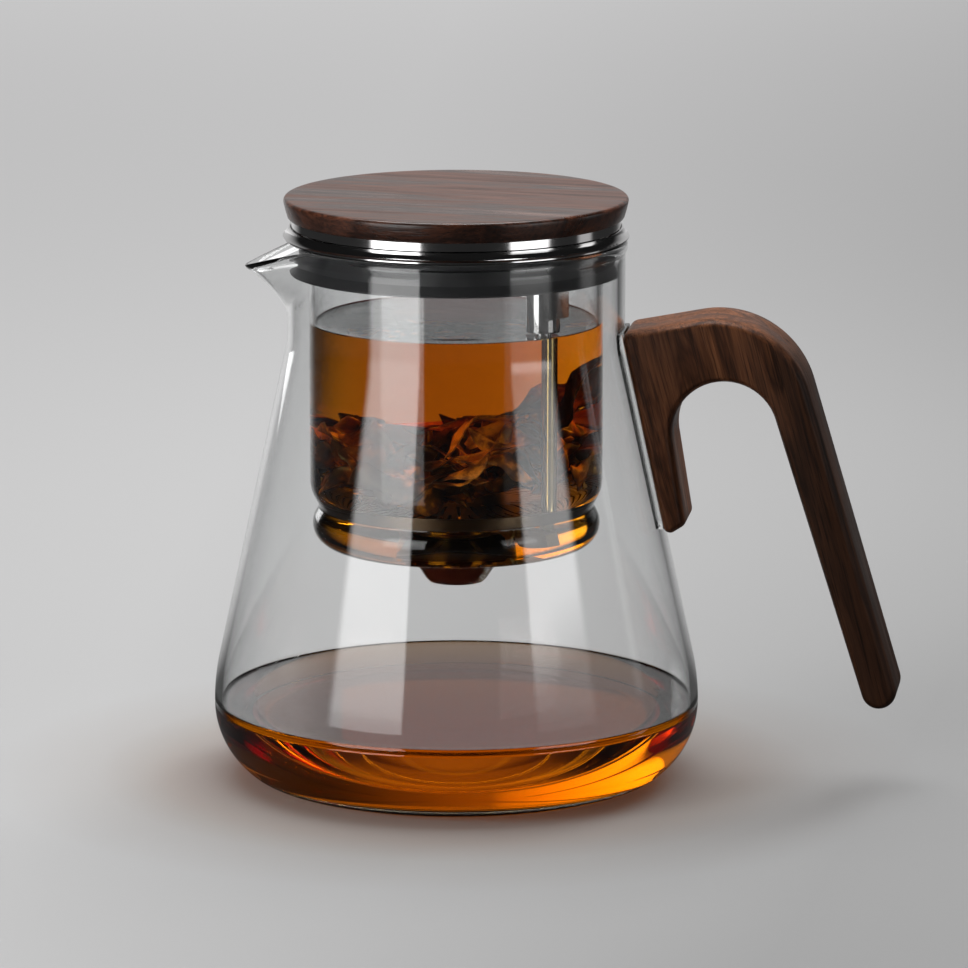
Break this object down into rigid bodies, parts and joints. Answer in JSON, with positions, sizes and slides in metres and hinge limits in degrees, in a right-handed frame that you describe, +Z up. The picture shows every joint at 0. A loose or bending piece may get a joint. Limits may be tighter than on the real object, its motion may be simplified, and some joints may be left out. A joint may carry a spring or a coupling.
{
  "type": "glass teapot",
  "caption": "Glass teapot with a lift-out glass infuser, a walnut lid pressed down to open the outlet valve, and a hooked walnut handle glued to the jug",
  "frame": {"origin": "Centre of the jug's flat foot, on the table", "axes": "+Z up, -X toward the pouring lip, +X toward the handle"},
  "size_m": [0.1897, 0.134, 0.1613],
  "materials": {
    "clear_glass": "clear blown borosilicate glass",
    "walnut": "oiled dark walnut, satin",
    "clear_adhesive": "clear hardened adhesive",
    "polished_steel": "polished stainless steel",
    "satin_steel": "satin stainless steel",
    "grey_silicone": "matt dark grey silicone",
    "dark_polymer": "glossy dark brown moulding",
    "spring_steel": "drawn spring wire",
    "screw_steel": "bright steel screws"
  },
  "bodies": {
    "jug": {"jug_glass": "clear_glass", "handle": "walnut", "handle_bond": "clear_adhesive"},
    "infuser": {"infuser_glass": "clear_glass", "infuser_collar": "polished_steel", "neck_seal": "grey_silicone", "filter_screen": "satin_steel", "filter_rim": "satin_steel", "rod_sleeve": "satin_steel", "valve_housing": "dark_polymer", "housing_washer": "grey_silicone", "outlet_nozzle": "dark_polymer", "nozzle_washer": "grey_silicone", "lever_bracket": "satin_steel", "lever_pin": "satin_steel", "valve_spring": "spring_steel"},
    "rod": {"push_rod": "satin_steel", "rod_button": "satin_steel"},
    "lever": {"lever": "satin_steel"},
    "valve": {"valve_plug": "satin_steel", "plug_seal": "grey_silicone"},
    "lid": {"lid_base": "dark_polymer", "lid_gasket": "grey_silicone", "return_spring": "spring_steel"},
    "cap": {"lid_disc": "walnut", "lid_band": "polished_steel", "disc_screws": "screw_steel", "press_plate": "satin_steel", "plate_screw": "screw_steel"}
  },
  "joints": [
    {"name": "infuser_lift", "type": "slide", "parent": "jug", "child": "infuser", "axis": [0, 0, 1], "range_m": [0, 0.11]},
    {"name": "lid_lift", "type": "slide", "parent": "infuser", "child": "lid", "axis": [0, 0, 1], "range_m": [0, 0.04]},
    {"name": "lid_press", "type": "slide", "parent": "lid", "child": "cap", "axis": [0, 0, -1], "range_m": [0, 0.002], "stiffness_N_per_m": 600, "springref_m": -0.004, "deforming": ["return_spring"]},
    {"name": "rod_slide", "type": "slide", "parent": "infuser", "child": "rod", "axis": [0, 0, -1], "range_m": [0, 0.002]},
    {"name": "lever_tilt", "type": "hinge", "parent": "infuser", "child": "lever", "pos_m": [0.01587, -0.01111, 0.06955], "axis": [0.5736, 0.8192, 0], "range_deg": [0, 9.75]},
    {"name": "valve_lift", "type": "slide", "parent": "infuser", "child": "valve", "axis": [0, 0, 1], "range_m": [0, 0.002], "deforming": ["valve_spring"]}
  ],
  "couplings": [
    {"joint": "rod_slide", "follows": "lid_press", "ratio": 1},
    {"joint": "lever_tilt", "follows": "lid_press", "rad_per_m": 84.65},
    {"joint": "valve_lift", "follows": "lid_press", "ratio": 1}
  ]
}
